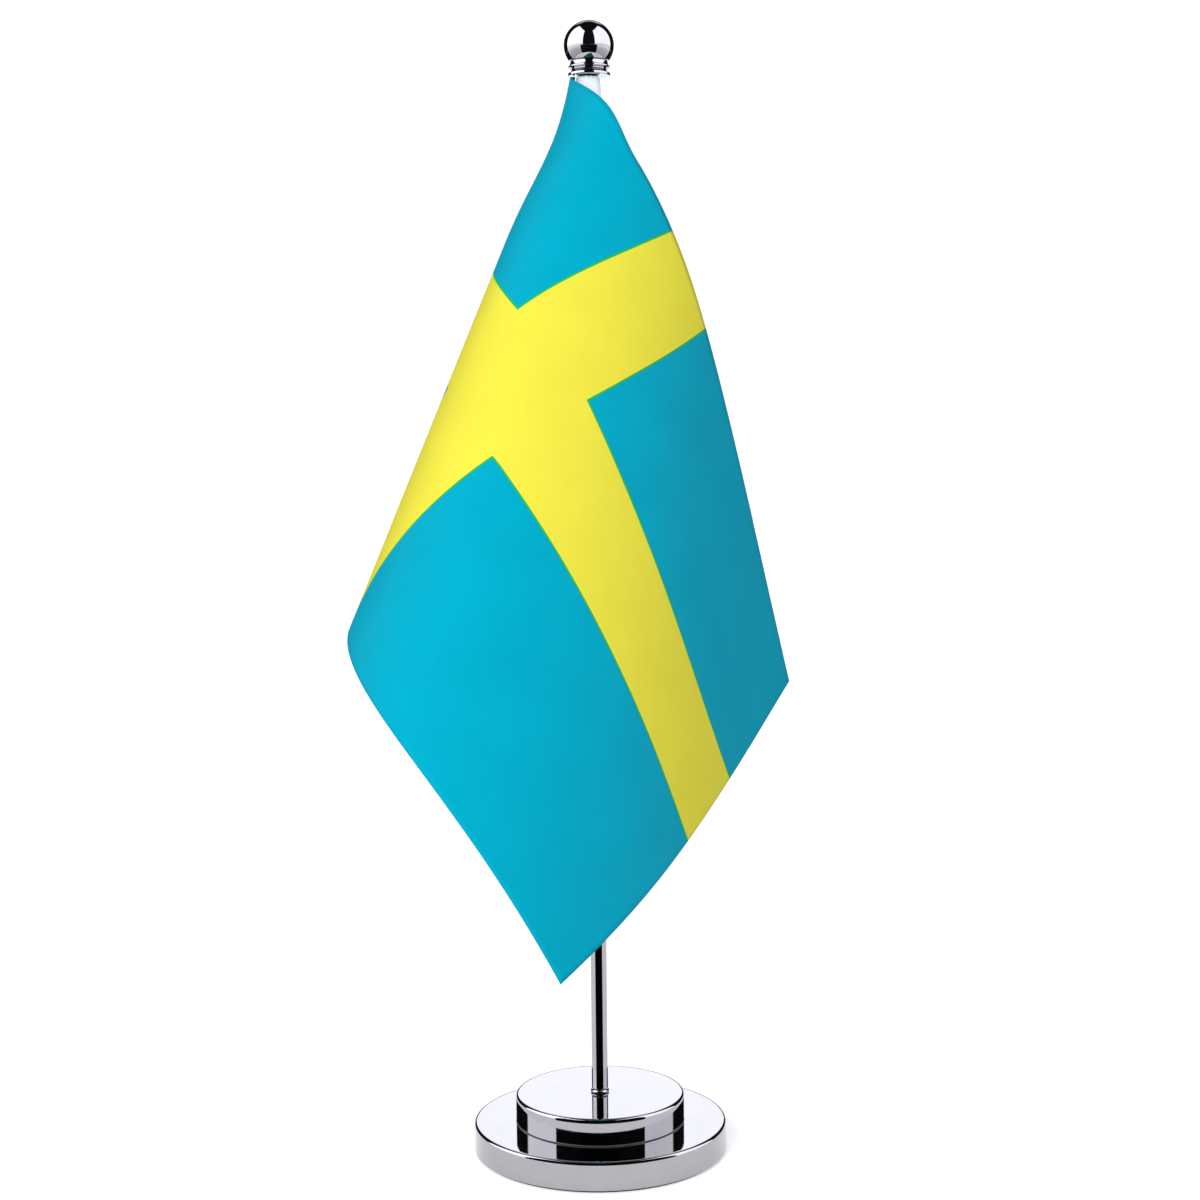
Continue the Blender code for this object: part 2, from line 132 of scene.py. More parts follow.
# Each panel's edges are pairs of degrees over which its light comes up or goes down
BOX_FRONT = (26.5, 29.5)
BOX_BACK = (115.0, 119.0)
BOX_TOP = (64.0, 68.0)
BOX_MIDDLE = 85.0
BOX_SINK = 0.003
BACKDROP_SIDE = (164.0, 168.0)
BACKDROP_FOOT = (14.0, 16.5)
BACKDROP_TOP = (28.0, 32.0)
STRIP_SIDE = (146.0, 156.0)
STRIP_FOOT = (40.0, 43.0)
STRIP_TOP = (54.0, 58.0)
NO_FOOT = (-92.0, -91.0)
TO_THE_BACK = (181.0, 182.0)
BACKDROP_LIGHT = 2.2
STRIP_LIGHT = 1.0
FELT_LIGHT = 0.012


def zone(angle, rise, fall):
    """How far a panel is lit across one angle, from the edge where it starts to the edge where it ends."""
    up = add_node(sky, "ShaderNodeMapRange", {"Value": angle, "From Min": rise[0], "From Max": rise[1]},
                  interpolation_type="SMOOTHSTEP")
    down = add_node(sky, "ShaderNodeMapRange", {"Value": angle, "From Min": fall[0], "From Max": fall[1],
                                                "To Min": 1.0, "To Max": 0.0},
                    interpolation_type="SMOOTHSTEP")
    return add_node(sky, "ShaderNodeMath", {0: up, 1: down}, operation="MULTIPLY")


def panel(across, upward, light):
    """Light of a panel, from its zone across, its zone upward and its own strength."""
    lit = add_node(sky, "ShaderNodeMath", {0: across, 1: upward}, operation="MULTIPLY")
    return add_node(sky, "ShaderNodeMath", {0: lit, 1: light}, operation="MULTIPLY")


# The boxes' straight top edges stand highest at the stand's sides
aside = add_node(sky, "ShaderNodeMath", {0: side, 1: BOX_MIDDLE}, operation="SUBTRACT")
aside = add_node(sky, "ShaderNodeMath", {0: aside, 1: aside}, operation="MULTIPLY")
sunk = add_node(sky, "ShaderNodeMath", {0: aside, 1: BOX_SINK, 2: height}, operation="MULTIPLY_ADD")
# The boxes fade at the foot, and the left one is a little the stronger
glow = add_node(sky, "ShaderNodeMapRange", {"Value": height, "From Min": -8.0, "From Max": 6.0,
                                            "To Min": 0.3, "To Max": 1.0})
share = add_node(sky, "ShaderNodeMapRange", {"Value": turn, "From Min": -60.0, "From Max": 60.0,
                                             "To Min": 3.3, "To Max": 2.7})
box_light = add_node(sky, "ShaderNodeMath", {0: glow, 1: share}, operation="MULTIPLY")
boxes = panel(zone(side, BOX_FRONT, BOX_BACK), zone(sunk, NO_FOOT, BOX_TOP), box_light)
backdrop = panel(zone(side, BACKDROP_SIDE, TO_THE_BACK), zone(height, BACKDROP_FOOT, BACKDROP_TOP),
                 BACKDROP_LIGHT)
# A narrow strip high at the back lights the top of the ball
strip = panel(zone(side, STRIP_SIDE, TO_THE_BACK), zone(height, STRIP_FOOT, STRIP_TOP), STRIP_LIGHT)
light = add_node(sky, "ShaderNodeMath", {0: boxes, 1: backdrop}, operation="ADD")
light = add_node(sky, "ShaderNodeMath", {0: light, 1: strip}, operation="ADD")
light = add_node(sky, "ShaderNodeMath", {0: light, 1: FELT_LIGHT}, operation="ADD")
studio = add_node(sky, "ShaderNodeBackground", {"Color": linear("#F4F6FF"), "Strength": light})
paper = add_node(sky, "ShaderNodeBackground", {"Color": linear("#FFFFFF"), "Strength": 1.05})
# The room's own even light, which the boxes' hard edges would spoil on the cloth
room = add_node(sky, "ShaderNodeBackground", {"Color": linear("#F8FAFF"), "Strength": 0.7})
ray = add_node(sky, "ShaderNodeLightPath").outputs
lit = add_node(sky, "ShaderNodeMixShader", {0: ray["Is Diffuse Ray"], 1: studio, 2: room})
mixed = add_node(sky, "ShaderNodeMixShader", {0: ray["Is Camera Ray"], 1: lit, 2: paper})
add_node(sky, "ShaderNodeOutputWorld", {"Surface": mixed})

# Matt white paper, faintly lit from below, with fibres about 1 mm long
PAPER_FIBRES = 900.0
sweep_paper, tree, shader = start_material("matt_white_paper", {
    "Base Color": linear("#DEDEE0"), "Roughness": 0.8,
    "Emission Color": linear("#FFFFFF"), "Emission Strength": 0.36})
place = add_node(tree, "ShaderNodeTexCoord").outputs["Object"]
fibres = add_node(tree, "ShaderNodeTexNoise", {"Vector": place, "Scale": PAPER_FIBRES, "Detail": 3.0})
bump = add_node(tree, "ShaderNodeBump", {"Height": fibres, "Strength": 0.1, "Distance": 0.0001})
tree.links.new(bump.outputs[0], shader.inputs["Normal"])

SWEEP_RADIUS = 4.0
sweep_shape = bmesh.new()
bmesh.ops.create_circle(sweep_shape, cap_ends=True, segments=96, radius=SWEEP_RADIUS)
sweep = add_piece("table_sweep", sweep_shape, [sweep_paper])


def card(name, middle, half_angle, near, far, bottom, top, material, steps=48):
    """A curved card seen only in the chrome, between two radii and two heights, its angles in degrees."""
    shape = bmesh.new()
    edges = []
    for i in range(steps + 1):
        angle = math.radians(middle + half_angle * (2 * i / steps - 1))
        edges.append([shape.verts.new((r * math.sin(angle), -r * math.cos(angle), z))
                      for r, z in ((near, bottom), (far, top))])
    for first, second in zip(edges, edges[1:]):
        shape.faces.new((first[0], first[1], second[1], second[0]))
    piece = add_piece(name, shape, [material])
    piece.visible_camera = False
    piece.visible_diffuse = False
    piece.visible_shadow = False


# Black felt, close to black from every side
black_felt = start_material("black_felt", {"Base Color": linear("#0C0C0E"), "Roughness": 1.0,
                                           "Specular IOR Level": 0.0})[0]
# Grey cloth that glows more the further it lies from the stand
grey_cloth, tree, shader = start_material("grey_cloth", {
    "Base Color": linear("#000000"), "Roughness": 1.0, "Specular IOR Level": 0.0,
    "Emission Color": linear("#F4F6FF")})
place = add_node(tree, "ShaderNodeTexCoord").outputs["Object"]
away = add_node(tree, "ShaderNodeVectorMath", {0: place}, operation="LENGTH").outputs["Value"]
fade = add_node(tree, "ShaderNodeMapRange", {"Value": away, "From Min": 0.4, "From Max": 3.6,
                                             "To Min": 0.85, "To Max": 2.4})
tree.links.new(fade.outputs[0], shader.inputs["Emission Strength"])
SCREEN_RADIUS = 0.066
SCREEN_TOP = 0.072
CLOTH_NEAR = 0.385
CLOTH_FAR = 3.9
CLOTH_LIFT = 0.001
FELT_FAR = 3.8
FELT_LIFT = 0.002
card("felt_screen", 0, 51, SCREEN_RADIUS, SCREEN_RADIUS, FELT_LIFT, SCREEN_TOP, black_felt)
card("far_floor", 0, 180, CLOTH_NEAR, CLOTH_FAR, CLOTH_LIFT, CLOTH_LIFT, grey_cloth)
for name, middle, half_angle in (("far_felt", 0, 40), ("left_felt", -142, 25), ("right_felt", 142, 25)):
    card(name, middle, half_angle, CLOTH_NEAR, FELT_FAR, FELT_LIFT, FELT_LIFT, black_felt)

key_data = bpy.data.lights.new("front_left_panel", "AREA")
key_data.shape = "RECTANGLE"
key_data.size = 0.5
key_data.size_y = 0.9
key_data.energy = 15.5
key_data.color = linear("#FFFDFA")[:3]
key = bpy.data.objects.new("front_left_panel", key_data)
scene.collection.objects.link(key)
KEY_PLACE = Vector((-0.36, -1.08, 0.45))
KEY_AIM = Vector((0, 0, 0.19))
key_turn = (KEY_AIM - KEY_PLACE).to_track_quat("-Z", "Y").to_matrix().to_4x4()
key.matrix_world = Matrix.Translation(KEY_PLACE) @ key_turn
key.visible_glossy = False


# ---------------------------------------------------------------------------
# Base pad: a disc of black foam rubber glued under the base, so that it does
# not slip or scratch the desk. It is die cut, with square, slightly soft edges.
# ---------------------------------------------------------------------------

def filleted(corners, steps=6):
    """Outline points of (radius, height, fillet) corners, each rounded by its fillet."""
    points = []
    for i, (r, z, fillet) in enumerate(corners):
        here = Vector((r, z))
        if fillet == 0:
            points.append(here)
            continue
        back = (Vector(corners[i - 1][:2]) - here).normalized()
        ahead = (Vector(corners[(i + 1) % len(corners)][:2]) - here).normalized()
        half = back.angle(ahead) / 2
        centre = here + (back + ahead).normalized() * (fillet / math.sin(half))
        reach = fillet / math.tan(half)
        first = (here + back * reach - centre).normalized()
        last = (here + ahead * reach - centre).normalized()
        # A point held just outside each end keeps the flats true beside the curve
        points.append(here + back * reach * 1.4)
        points += [centre + first.slerp(last, k / steps) * fillet for k in range(steps + 1)]
        points.append(here + ahead * reach * 1.4)
    return points


def ring_of(radius, z, steps):
    """One ring of a turned piece, or a single point where the radius is zero."""
    if radius < 1e-7:
        return [Vector((0, 0, z))]
    angles = [2 * math.pi * i / steps for i in range(steps)]
    return [Vector((radius * math.cos(a), radius * math.sin(a), z)) for a in angles]


def skin(rings):
    """Closed skin over rings of points; it ends in points on the axis or closes on itself."""
    shape = bmesh.new()
    made = [[shape.verts.new(point) for point in ring] for ring in rings]
    pairs = list(zip(made, made[1:]))
    if len(made[0]) > 1:
        pairs.append((made[-1], made[0]))
    for ring, other in pairs:
        if len(ring) == 1:
            ring, other = other, ring
        for i in range(len(ring)):
            j = (i + 1) % len(ring)
            if len(other) == 1:
                shape.faces.new((ring[i], ring[j], other[0]))
            else:
                shape.faces.new((ring[i], ring[j], other[j], other[i]))
    return shape


def turned(corners, steps):
    """A piece turned about the pole's axis from its outline's corners."""
    return skin([ring_of(point.x, point.y, steps) for point in filleted(corners)])


def fit_piece(piece, body, node):
    """Mounts a piece on its body in place of its CAD node."""
    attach(piece, body)
    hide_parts(node)


# Closed-cell foam rubber: a matt black skin with fine open pores along the cut edge,
# drawn 0.4 mm across
FOAM_PORES = 2600.0
foam_rubber, tree, shader = start_material("black_foam_rubber", {"Roughness": 0.85})
place = add_node(tree, "ShaderNodeTexCoord").outputs["Object"]
cells = add_node(tree, "ShaderNodeTexVoronoi", {"Vector": place, "Scale": FOAM_PORES})
tone = add_node(tree, "ShaderNodeMapRange", {"Value": cells.outputs["Distance"], "From Max": 0.6})
pores = add_node(tree, "ShaderNodeValToRGB", {0: tone})
pores.color_ramp.elements[0].color = linear("#121214")
pores.color_ramp.elements[1].color = linear("#27272B")
tree.links.new(pores.outputs[0], shader.inputs["Base Color"])
bump = add_node(tree, "ShaderNodeBump", {"Height": cells, "Strength": 0.6, "Distance": 0.0001})
tree.links.new(bump.outputs[0], shader.inputs["Normal"])

PAD_EDGE = 0.0003
PAD_STEPS = 128
low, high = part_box("base_pad")
radius = high[0]
outline = [(0, low[2], 0), (radius, low[2], PAD_EDGE), (radius, high[2], PAD_EDGE), (0, high[2], 0)]
shape = turned(outline, PAD_STEPS)
pad = add_piece("foam_pad", shape, [foam_rubber])
fit_piece(pad, "base", "base_pad")


# ---------------------------------------------------------------------------
# Lower disc: a shallow cap pressed from 0.8 mm sheet steel, polished and
# plated with bright chrome. It is hollow below and holds the lower weight.
# ---------------------------------------------------------------------------

# Bright chrome over polished steel: a mirror, a neutral grey, with a haze of
# wiping marks about 6 mm across and fine polishing lines round the axis, which
# are drawn 0.4 mm apart
WIPE_MARKS = 180.0
POLISH_LINES = 780.0
bright_chrome, tree, shader = start_material("bright_chrome", {"Metallic": 1.0})
place = add_node(tree, "ShaderNodeTexCoord").outputs["Object"]
haze = add_node(tree, "ShaderNodeTexNoise", {"Vector": place, "Scale": WIPE_MARKS, "Detail": 5.0,
                                             "Roughness": 0.6})
wiped = add_node(tree, "ShaderNodeMapRange", {"Value": haze.outputs[0], "From Min": 0.35, "From Max": 0.75,
                                              "To Min": 0.03, "To Max": 0.075})
tree.links.new(wiped.outputs[0], shader.inputs["Roughness"])
tint = add_node(tree, "ShaderNodeValToRGB", {0: haze.outputs[0]})
tint.color_ramp.elements[0].color = linear("#A09EA0")
tint.color_ramp.elements[1].color = linear("#A9A7A9")
tree.links.new(tint.outputs[0], shader.inputs["Base Color"])
lines = add_node(tree, "ShaderNodeTexWave", {"Vector": place, "Scale": POLISH_LINES, "Distortion": 0.4,
                                             "Detail": 2.0}, wave_type="RINGS", rings_direction="Z")
bump = add_node(tree, "ShaderNodeBump", {"Height": lines.outputs["Fac"], "Strength": 0.05,
                                         "Distance": 0.000002})
tree.links.new(bump.outputs[0], shader.inputs["Normal"])

DISC_WALL = 0.0008
DISC_EDGE = 0.0009           # radius of the rolled upper edge
RIM_EDGE = 0.00025           # the trimmed lower rim is broken by hand
HOLE_EDGE = 0.0001
CEILING_EDGE = 0.0003
SCREW_HOLE = 0.00155
DISC_STEPS = 256


def pressed_cap(node, foot):
    """Flat-topped cap with a rolled upper edge, a straight skirt down to its foot and a screw hole."""
    outer, _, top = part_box(node)[1]
    inner = outer - DISC_WALL
    ceiling = top - DISC_WALL
    return turned([(inner, foot, RIM_EDGE), (outer, foot, RIM_EDGE), (outer, top, DISC_EDGE),
                   (SCREW_HOLE, top, HOLE_EDGE), (SCREW_HOLE, ceiling, HOLE_EDGE),
                   (inner, ceiling, CEILING_EDGE)], DISC_STEPS)


lower_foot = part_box("base_lower_shell")[0][2]
lower_disc = add_piece("lower_disc", pressed_cap("base_lower_shell", lower_foot), [bright_chrome])
fit_piece(lower_disc, "base", "base_lower_shell")


# ---------------------------------------------------------------------------
# Weights: two discs of cast iron, turned flat and left bare, that fill the
# caps. The lower one has a recess for the screw head and its washers.
# ---------------------------------------------------------------------------

# Bare cast iron: dull dark grey, with the grain of the sand mould, 0.7 mm across
SAND_GRAINS = 1400.0
cast_iron, tree, shader = start_material("bare_cast_iron", {"Metallic": 0.85, "Roughness": 0.6})
place = add_node(tree, "ShaderNodeTexCoord").outputs["Object"]
sand = add_node(tree, "ShaderNodeTexNoise", {"Vector": place, "Scale": SAND_GRAINS, "Detail": 6.0})
grey = add_node(tree, "ShaderNodeValToRGB", {0: sand})
grey.color_ramp.elements[0].color = linear("#3A3A3C")
grey.color_ramp.elements[1].color = linear("#6A6867")
tree.links.new(grey.outputs[0], shader.inputs["Base Color"])
bump = add_node(tree, "ShaderNodeBump", {"Height": sand, "Strength": 0.5, "Distance": 0.00012})
tree.links.new(bump.outputs[0], shader.inputs["Normal"])

for node in ("base_lower_ballast", "base_upper_ballast"):
    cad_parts[node].material_slots[0].material = cast_iron


# ---------------------------------------------------------------------------
# Base screw: a small socket-head screw, zinc plated, that comes up through
# both weights into the pole. A flat and a split lock washer lie on its head.
# ---------------------------------------------------------------------------

# Zinc-plated steel: light grey and half dull, with a cloudy spangle 0.5 mm across
SPANGLES = 2200.0
zinc_steel, tree, shader = start_material("zinc_plated_steel", {"Metallic": 1.0})
place = add_node(tree, "ShaderNodeTexCoord").outputs["Object"]
spangle = add_node(tree, "ShaderNodeTexNoise", {"Vector": place, "Scale": SPANGLES, "Detail": 3.0})
grey = add_node(tree, "ShaderNodeValToRGB", {0: spangle})
grey.color_ramp.elements[0].color = linear("#A9ADB3")
grey.color_ramp.elements[1].color = linear("#D3D6DA")
tree.links.new(grey.outputs[0], shader.inputs["Base Color"])
dull = add_node(tree, "ShaderNodeMapRange", {"Value": spangle, "To Min": 0.2, "To Max": 0.38})
tree.links.new(dull.outputs[0], shader.inputs["Roughness"])

THREAD_PITCH = 0.00045
THREAD_DEPTH = 0.00022
THREAD_STEPS = 24
ROWS_PER_PITCH = 6


def thread_rings(radius, bottom, top):
    """Rings of a rolled thread: the radius rises and falls along a helix and fades at both ends."""
    rows = max(2, round((top - bottom) / THREAD_PITCH * ROWS_PER_PITCH))
    rings = []
    for row in range(rows + 1):
        z = bottom + (top - bottom) * row / rows
        fade = min(1.0, (z - bottom) / THREAD_PITCH, (top - z) / THREAD_PITCH)
        ring = []
        for i in range(THREAD_STEPS):
            angle = 2 * math.pi * i / THREAD_STEPS
            phase = (z / THREAD_PITCH - i / THREAD_STEPS) % 1.0
            crest = 1 - abs(2 * phase - 1)
            reach = radius - THREAD_DEPTH * (1 - crest * fade)
            ring.append(Vector((reach * math.cos(angle), reach * math.sin(angle), z)))
        rings.append(ring)
    return rings


def hexagon_ring(radius, z):
    """Ring that follows a hexagon with that corner radius."""
    ring = []
    for i in range(THREAD_STEPS):
        angle = 2 * math.pi * i / THREAD_STEPS
        from_flat = (angle + math.pi / 6) % (math.pi / 3) - math.pi / 6
        reach = radius * math.cos(math.pi / 6) / math.cos(from_flat)
        ring.append(Vector((reach * math.cos(angle), reach * math.sin(angle), z)))
    return ring


SCREW_RADIUS = 0.00125
SCREW_POINT = 0.0005
POINT_HEIGHT = 0.0002
SOCKET_RADIUS = 0.0009
SOCKET_DEPTH = 0.0008
HEAD_HEIGHT = 0.0013
HEAD_BREAK = 0.0003
SHANK_HEIGHT = 0.004
THREAD_START = 0.0001
low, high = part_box("base_screw")
head_top = low[2] + HEAD_HEIGHT
shank_top = head_top + SHANK_HEIGHT
rings = [ring_of(0, low[2] + SOCKET_DEPTH, THREAD_STEPS), hexagon_ring(SOCKET_RADIUS, low[2] + SOCKET_DEPTH),
         hexagon_ring(SOCKET_RADIUS, low[2])]
for r, z in ((high[0] - HEAD_BREAK, low[2]), (high[0], low[2] + HEAD_BREAK), (high[0], head_top),
             (SCREW_RADIUS, head_top), (SCREW_RADIUS, shank_top)):
    rings.append(ring_of(r, z, THREAD_STEPS))
rings += thread_rings(SCREW_RADIUS, shank_top + THREAD_START, high[2] - POINT_HEIGHT)
rings += [ring_of(SCREW_RADIUS - SCREW_POINT, high[2], THREAD_STEPS), ring_of(0, high[2], THREAD_STEPS)]
screw = add_piece("socket_screw", skin(rings), [zinc_steel])
fit_piece(screw, "base", "base_screw")

for node in ("flat_washer", "lock_washer"):
    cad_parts[node].material_slots[0].material = zinc_steel


# ---------------------------------------------------------------------------
# Upper disc: a second, smaller pressed cap in the same bright chrome. It
# stands on the lower disc and is clamped there by the screw.
# ---------------------------------------------------------------------------

CONTACT = 0.00004            # it stands on the lower disc with no more than this between
upper_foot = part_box("base_lower_shell")[1][2] + CONTACT
# Its foot was trimmed after plating, so the outer edge there is brushed, not bright
trimmed_chrome = bright_chrome.copy()
trimmed_chrome.name = "trimmed_chrome"
tree = trimmed_chrome.node_tree
shader = tree.nodes["Principled BSDF"]
TRIM_HEIGHT = 0.00035
place = add_node(tree, "ShaderNodeTexCoord").outputs["Object"]
level = add_node(tree, "ShaderNodeSeparateXYZ", {0: place}).outputs[2]
brushed = add_node(tree, "ShaderNodeMapRange", {"Value": level, "From Min": upper_foot + TRIM_HEIGHT,
                                                "From Max": upper_foot + TRIM_HEIGHT * 0.8,
                                                "To Min": 0.0, "To Max": 0.6})
polished = shader.inputs["Roughness"].links[0].from_socket
duller = add_node(tree, "ShaderNodeMath", {0: polished, 1: brushed}, operation="MAXIMUM")
tree.links.new(duller.outputs[0], shader.inputs["Roughness"])
upper_disc = add_piece("upper_disc", pressed_cap("base_upper_cap", upper_foot), [trimmed_chrome])
fit_piece(upper_disc, "base", "base_upper_cap")


# ---------------------------------------------------------------------------
# Seat ring: a thin chromed washer with a sloped edge between the upper disc
# and the foot of the pole.
# ---------------------------------------------------------------------------

low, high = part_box("pole_seat_ring")
outer = high[0]
LIP = 0.0003
SEAT_BREAK = 0.00005
LIP_BREAK = 0.00008
POLE_STEPS = 96
shape = turned([(SCREW_HOLE, low[2], 0), (outer, low[2], SEAT_BREAK), (outer, high[2] - LIP, LIP_BREAK),
                (outer - LIP, high[2], LIP_BREAK), (SCREW_HOLE, high[2], 0)], POLE_STEPS)
seat_ring = add_piece("seat_ring", shape, [bright_chrome])
fit_piece(seat_ring, "base", "pole_seat_ring")


# ---------------------------------------------------------------------------
# Pole: a drawn steel tube, 4.8 mm across, chromed, with a threaded brass plug
# pressed into each end.
# ---------------------------------------------------------------------------

TUBE_WALL = 0.0004
TUBE_BREAK = 0.00015
BORE_BREAK = 0.00008
low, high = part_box("pole_tube")
outer = high[0]
inner = outer - TUBE_WALL
shape = turned([(inner, low[2], BORE_BREAK), (outer, low[2], TUBE_BREAK), (outer, high[2], TUBE_BREAK),
                (inner, high[2], BORE_BREAK)], POLE_STEPS)
pole = add_piece("pole", shape, [bright_chrome])
fit_piece(pole, "pole", "pole_tube")

# Turned brass: warm and half bright, with tool marks round it, 0.2 mm apart
TOOL_MARKS = 1500.0
turned_brass, tree, shader = start_material("turned_brass", {"Metallic": 1.0, "Roughness": 0.3})
place = add_node(tree, "ShaderNodeTexCoord").outputs["Object"]
marks = add_node(tree, "ShaderNodeTexWave", {"Vector": place, "Scale": TOOL_MARKS, "Distortion": 1.0},
                 wave_type="BANDS", bands_direction="Z")
warm = add_node(tree, "ShaderNodeValToRGB", {0: marks.outputs["Fac"]})
warm.color_ramp.elements[0].color = linear("#B98F45")
warm.color_ramp.elements[1].color = linear("#D2AC62")
tree.links.new(warm.outputs[0], shader.inputs["Base Color"])
bump = add_node(tree, "ShaderNodeBump", {"Height": marks.outputs["Fac"], "Strength": 0.3,
                                         "Distance": 0.00002})
tree.links.new(bump.outputs[0], shader.inputs["Normal"])
for node in ("pole_top_insert", "pole_bottom_insert"):
    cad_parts[node].material_slots[0].material = turned_brass


# ---------------------------------------------------------------------------
# Heading sleeve: a strip of white woven polyester, folded into a loop that
# slips over the pole, turned in at the top, with the flag sewn in down its seam.
# ---------------------------------------------------------------------------

CLOTH = 0.00035
SLEEVE_STEPS = 64
SLEEVE_ROWS = 90
sleeve_low, sleeve_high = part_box("flag_sleeve")
half_depth = sleeve_high[1]
left_centre = sleeve_low[0] + half_depth
right_centre = sleeve_high[0] - half_depth


def sleeve_ring(radius, z, ripple=0.0):
    """Flattened loop round the pole; the ripple is the cloth's slight unevenness."""
    ring = []
    for i in range(SLEEVE_STEPS):
        angle = 2 * math.pi * (i + 0.5) / SLEEVE_STEPS
        out = Vector((math.cos(angle), math.sin(angle), 0))
        centre = right_centre if out.x > 0 else left_centre
        wobble = ripple * noise.noise(Vector((out.x * 1.6, out.y * 1.6, z * 90)))
        ring.append(Vector((centre, 0, z)) + out * (radius + wobble))
    return ring


# Woven polyester: matt white with a faint sheen and a plain weave. Its threads
# are 0.15 mm apart, drawn here at 0.5 mm so that they show.
THREAD_SPACING = 0.0005
WAVE_RATE = 20               # radians a wave texture runs through in a metre, at scale 1
WEAVE_SCALE = 2 * math.pi / (WAVE_RATE * THREAD_SPACING)
woven_polyester, tree, shader = start_material("white_woven_polyester", {
    "Roughness": 0.75, "Sheen Weight": 0.25, "Sheen Roughness": 0.4})
place = add_node(tree, "ShaderNodeTexCoord").outputs["Object"]
warp = add_node(tree, "ShaderNodeTexWave", {"Vector": place, "Scale": WEAVE_SCALE, "Distortion": 0.6},
                wave_type="BANDS", bands_direction="Z")
weft = add_node(tree, "ShaderNodeTexWave", {"Vector": place, "Scale": WEAVE_SCALE, "Distortion": 0.6},
                wave_type="BANDS", bands_direction="DIAGONAL")
weave = add_node(tree, "ShaderNodeMath", {0: warp.outputs["Fac"], 1: weft.outputs["Fac"]},
                 operation="MULTIPLY")
white = add_node(tree, "ShaderNodeValToRGB", {0: weave})
white.color_ramp.elements[0].color = linear("#C5CED6")
white.color_ramp.elements[1].color = linear("#DAE1E7")
tree.links.new(white.outputs[0], shader.inputs["Base Color"])
bump = add_node(tree, "ShaderNodeBump", {"Height": weave, "Strength": 0.5, "Distance": 0.00008})
tree.links.new(bump.outputs[0], shader.inputs["Normal"])

outer = half_depth
inner = half_depth - CLOTH
RIPPLE = 0.00022
FOOT_TURN_IN = 0.0005
TOP_TURN_IN = 0.0006
TURN_IN_ROWS = 1.5
rings = []
for row in range(SLEEVE_ROWS + 1):
    z = sleeve_low[2] + (sleeve_high[2] - sleeve_low[2]) * row / SLEEVE_ROWS
    # The cloth is folded in a little at the foot and at the top
    turn_in = (FOOT_TURN_IN * max(0.0, 1 - row / TURN_IN_ROWS)
               + TOP_TURN_IN * max(0.0, 1 - (SLEEVE_ROWS - row) / TURN_IN_ROWS))
    rings.append(sleeve_ring(outer - turn_in, z, RIPPLE))
MOUTH = 0.0022               # the opening at the top, which the stud comes up through
rings.append(ring_of(MOUTH, sleeve_high[2], SLEEVE_STEPS))
rings.append(ring_of(MOUTH, sleeve_high[2] - CLOTH, SLEEVE_STEPS))
rings += [sleeve_ring(inner, sleeve_high[2] - CLOTH), sleeve_ring(inner, sleeve_low[2])]
sleeve = add_piece("heading_sleeve", skin(rings), [woven_polyester], 50)
fit_piece(sleeve, "flag", "flag_sleeve")


# ---------------------------------------------------------------------------
# Flag: one sheet of printed satin, sewn into the sleeve at its hoist. It was
# rolled for packing and hangs in one long curl, bent only along straight
# fold lines, so no part of the cloth is stretched.
# ---------------------------------------------------------------------------

SATIN = 0.0003
SHEET_LENGTH = 0.219
SHEET_HEIGHT = 0.146
SEAM_FADE = 0.025
TOP_PULL = 0.0036
TOP_PULL_WIDTH = 0.045
TOP_PULL_DEPTH = 0.045
CORNER_FLAT = 0.003
CORNER_WIDTH = 0.012
HOIST_HEADING = math.radians(164.5)
HOIST_BACKSET = 0.0023
LAST_FOLD_ANGLE = math.radians(66.7)
START_POWER = 3.35
FOLD_RATES = (2.3, 3.3, 4.7, 8.2, 9.0, 4.0, 0.6, -0.3)
FOLD_STRIPS = 192
COLUMNS = 150
ROWS = 100
FIELD_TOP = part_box("flag_field")[1][2]
SEAM_GAP = 0.0001
SEAM_STEP = 0.00025
SEAM_X = sleeve_low[0] - SEAM_GAP
# The top corner was drawn up to just under the finial's collar
COLLAR_GAP = 0.0002
CORNER_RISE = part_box("finial_collar")[0][2] - COLLAR_GAP - FIELD_TOP


def smooth_step(part):
    """Eases from 0 to 1 while the part goes from 0 to 1."""
    part = min(max(part, 0.0), 1.0)
    return part * part * (3 - 2 * part)


def fold_rate(sweep):
    """How sharply the cloth bends at a place in the sweep from hoist to fly."""
    place = sweep * (len(FOLD_RATES) - 1)
    step = min(int(place), len(FOLD_RATES) - 2)
    ease = smooth_step(place - step)
    return FOLD_RATES[step] * (1 - ease) + FOLD_RATES[step + 1] * ease


folds = []
along = Vector((math.cos(HOIST_HEADING), math.sin(HOIST_HEADING), 0))
down = Vector((0, 0, -1))
start = Vector((0, 0, FIELD_TOP)) - HOIST_BACKSET * along
previous = 0.0
for i in range(FOLD_STRIPS + 1):
    sweep = i / FOLD_STRIPS
    angle = LAST_FOLD_ANGLE * sweep
    reach = SHEET_LENGTH * sweep ** START_POWER
    start = start + (reach - previous) * along
    previous = reach
    line = math.sin(angle) * along + math.cos(angle) * down
    folds.append((angle, reach, start, line))
    bend = Matrix.Rotation(-fold_rate(sweep) / FOLD_STRIPS, 3, line)
    along = bend @ along
    down = bend @ down


def fly_side(fold, u, v):
    """Positive while the flat point (u, v) is on the fly side of a fold line."""
    return (u - fold[1]) * math.cos(fold[0]) - v * math.sin(fold[0])


